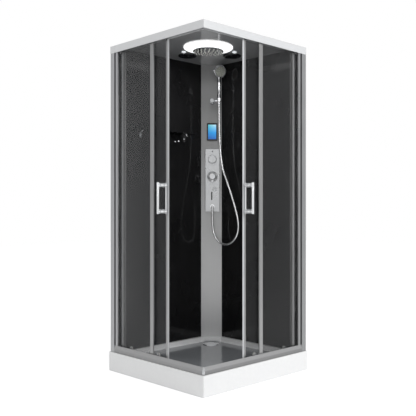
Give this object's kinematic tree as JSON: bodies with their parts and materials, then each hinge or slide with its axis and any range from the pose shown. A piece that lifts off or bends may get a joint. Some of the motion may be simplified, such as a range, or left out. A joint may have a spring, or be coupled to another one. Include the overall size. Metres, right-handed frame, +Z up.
{
  "type": "steam shower cabin",
  "caption": "Square corner steam shower cabin with sliding glass doors that meet at one corner, dark glass back walls, a fittings column, an overhead rain shower and a low tray.",
  "frame": {"origin": "middle of the square footprint, on the floor", "axes": "+Z up; the doors open at the corner between +X and -Y; the walls close the sides -X and +Y"},
  "size_m": [0.9375, 0.9375, 2.095],
  "materials": {
    "acrylic": "glossy cast acrylic",
    "aluminium": "satin anodised",
    "ceiling_paint": "satin paint",
    "brushed_plate": "brushed",
    "steel_frame": "zinc plated",
    "clear_glass": "clear toughened",
    "black_glass": "black enamelled, glossy",
    "chrome": "polished",
    "brass": "cast",
    "black_plastic": "glossy",
    "grey_plastic": "matt",
    "wheel_plastic": "matt",
    "light_diffuser": "milky",
    "screen": "lit",
    "seal_rubber": "matt"
  },
  "bodies": {
    "cabin": {"shower_tray": "acrylic", "tray_frame_and_feet": "steel_frame", "drain_trap": "grey_plastic", "bottom_rail_front": "aluminium", "bottom_rail_side": "aluminium", "top_rail_front": "aluminium", "top_rail_side": "aluminium", "corner_connectors": "steel_frame", "roof_panel": "ceiling_paint", "end_post_front": "aluminium", "end_post_side": "aluminium", "fixed_glass_front": "clear_glass", "fixed_glass_side": "clear_glass", "fixed_stile_front": "aluminium", "fixed_stile_side": "aluminium", "back_panel_left": "black_glass", "back_panel_right": "black_glass", "column_panel": "aluminium", "light_ring": "light_diffuser", "rain_shower_head": "chrome", "loudspeaker": "black_plastic", "extractor_fan_grille": "black_plastic", "extractor_fan_duct": "grey_plastic", "spot_lights": "light_diffuser", "control_plate": "brushed_plate", "display_housing": "black_plastic", "display_screen": "screen", "mixer_body": "brass", "steam_nozzle": "black_plastic", "steam_generator": "steel_frame", "water_pipes": "steel_frame", "hose_elbow": "chrome", "shower_hose": "chrome", "holder_base": "chrome", "shelf_glass": "black_glass", "shelf_brackets": "chrome"},
    "drain_cover": {"drain_cover": "chrome"},
    "fan_rotor": {"extractor_fan_rotor": "grey_plastic"},
    "mixer_lever": {"mixer_lever": "chrome"},
    "diverter_knob": {"diverter_knob": "chrome"},
    "hand_shower": {"holder_cup": "chrome", "hand_shower": "chrome"},
    "door_front": {"door_glass_front": "clear_glass", "door_stiles_front": "aluminium", "door_handle_front": "chrome", "door_seals_front": "seal_rubber", "wheel_carriers_front": "grey_plastic"},
    "wheel_front_lead_bottom": {"wheel_front_lead_bottom": "wheel_plastic"},
    "wheel_front_tail_bottom": {"wheel_front_tail_bottom": "wheel_plastic"},
    "wheel_front_lead_top": {"wheel_front_lead_top": "wheel_plastic"},
    "wheel_front_tail_top": {"wheel_front_tail_top": "wheel_plastic"},
    "door_side": {"door_glass_side": "clear_glass", "door_stiles_side": "aluminium", "door_handle_side": "chrome", "door_seals_side": "seal_rubber", "wheel_carriers_side": "grey_plastic"},
    "wheel_side_lead_bottom": {"wheel_side_lead_bottom": "wheel_plastic"},
    "wheel_side_tail_bottom": {"wheel_side_tail_bottom": "wheel_plastic"},
    "wheel_side_lead_top": {"wheel_side_lead_top": "wheel_plastic"},
    "wheel_side_tail_top": {"wheel_side_tail_top": "wheel_plastic"}
  },
  "joints": [
    {"name": "drain_cover_lift", "type": "slide", "parent": "cabin", "child": "drain_cover", "axis": [0, 0, 1], "range_m": [0, 0.05]},
    {"name": "fan_spin", "type": "hinge", "parent": "cabin", "child": "fan_rotor", "pos_m": [-0.023, 0.233, 2.067], "axis": [0, 0, 1], "continuous": true},
    {"name": "mixer_turn", "type": "hinge", "parent": "cabin", "child": "mixer_lever", "pos_m": [-0.3256, 0.33621, 1.26], "axis": [0.7071, -0.7071, 0], "range_deg": [0, 110]},
    {"name": "diverter_turn", "type": "hinge", "parent": "cabin", "child": "diverter_knob", "pos_m": [-0.3256, 0.33621, 1.382], "axis": [0.7071, -0.7071, 0], "range_deg": [-60, 60]},
    {"name": "hand_shower_tilt", "type": "hinge", "parent": "cabin", "child": "hand_shower", "pos_m": [-0.24747, 0.32666, 1.789], "axis": [0.7071, 0.7071, 0], "range_deg": [-5, 35], "deforming": ["shower_hose"]},
    {"name": "door_front_slide", "type": "slide", "parent": "cabin", "child": "door_front", "axis": [-1, 0, 0], "range_m": [-0.3025, 0.012]},
    {"name": "wheel_front_lead_bottom_turn", "type": "hinge", "parent": "door_front", "child": "wheel_front_lead_bottom", "pos_m": [0.0025, -0.404, 0.1603], "axis": [0, 1, 0], "range_deg": [-75, 1740]},
    {"name": "wheel_front_tail_bottom_turn", "type": "hinge", "parent": "door_front", "child": "wheel_front_tail_bottom", "pos_m": [-0.2675, -0.404, 0.1603], "axis": [0, 1, 0], "range_deg": [-75, 1740]},
    {"name": "wheel_front_lead_top_turn", "type": "hinge", "parent": "door_front", "child": "wheel_front_lead_top", "pos_m": [0.0025, -0.404, 2.0443], "axis": [0, 1, 0], "range_deg": [-75, 1740]},
    {"name": "wheel_front_tail_top_turn", "type": "hinge", "parent": "door_front", "child": "wheel_front_tail_top", "pos_m": [-0.2675, -0.404, 2.0443], "axis": [0, 1, 0], "range_deg": [-75, 1740]},
    {"name": "door_side_slide", "type": "slide", "parent": "cabin", "child": "door_side", "axis": [0, 1, 0], "range_m": [-0.3025, 0.012]},
    {"name": "wheel_side_lead_bottom_turn", "type": "hinge", "parent": "door_side", "child": "wheel_side_lead_bottom", "pos_m": [0.404, -0.0025, 0.1603], "axis": [1, 0, 0], "range_deg": [-75, 1740]},
    {"name": "wheel_side_tail_bottom_turn", "type": "hinge", "parent": "door_side", "child": "wheel_side_tail_bottom", "pos_m": [0.404, 0.2675, 0.1603], "axis": [1, 0, 0], "range_deg": [-75, 1740]},
    {"name": "wheel_side_lead_top_turn", "type": "hinge", "parent": "door_side", "child": "wheel_side_lead_top", "pos_m": [0.404, -0.0025, 2.0443], "axis": [1, 0, 0], "range_deg": [-75, 1740]},
    {"name": "wheel_side_tail_top_turn", "type": "hinge", "parent": "door_side", "child": "wheel_side_tail_top", "pos_m": [0.404, 0.2675, 2.0443], "axis": [1, 0, 0], "range_deg": [-75, 1740]}
  ],
  "couplings": [
    {"joint": "wheel_front_lead_bottom_turn", "follows": "door_front_slide", "rad_per_m": -100},
    {"joint": "wheel_front_tail_bottom_turn", "follows": "door_front_slide", "rad_per_m": -100},
    {"joint": "wheel_front_lead_top_turn", "follows": "door_front_slide", "rad_per_m": -100},
    {"joint": "wheel_front_tail_top_turn", "follows": "door_front_slide", "rad_per_m": -100},
    {"joint": "wheel_side_lead_bottom_turn", "follows": "door_side_slide", "rad_per_m": -100},
    {"joint": "wheel_side_tail_bottom_turn", "follows": "door_side_slide", "rad_per_m": -100},
    {"joint": "wheel_side_lead_top_turn", "follows": "door_side_slide", "rad_per_m": -100},
    {"joint": "wheel_side_tail_top_turn", "follows": "door_side_slide", "rad_per_m": -100}
  ]
}
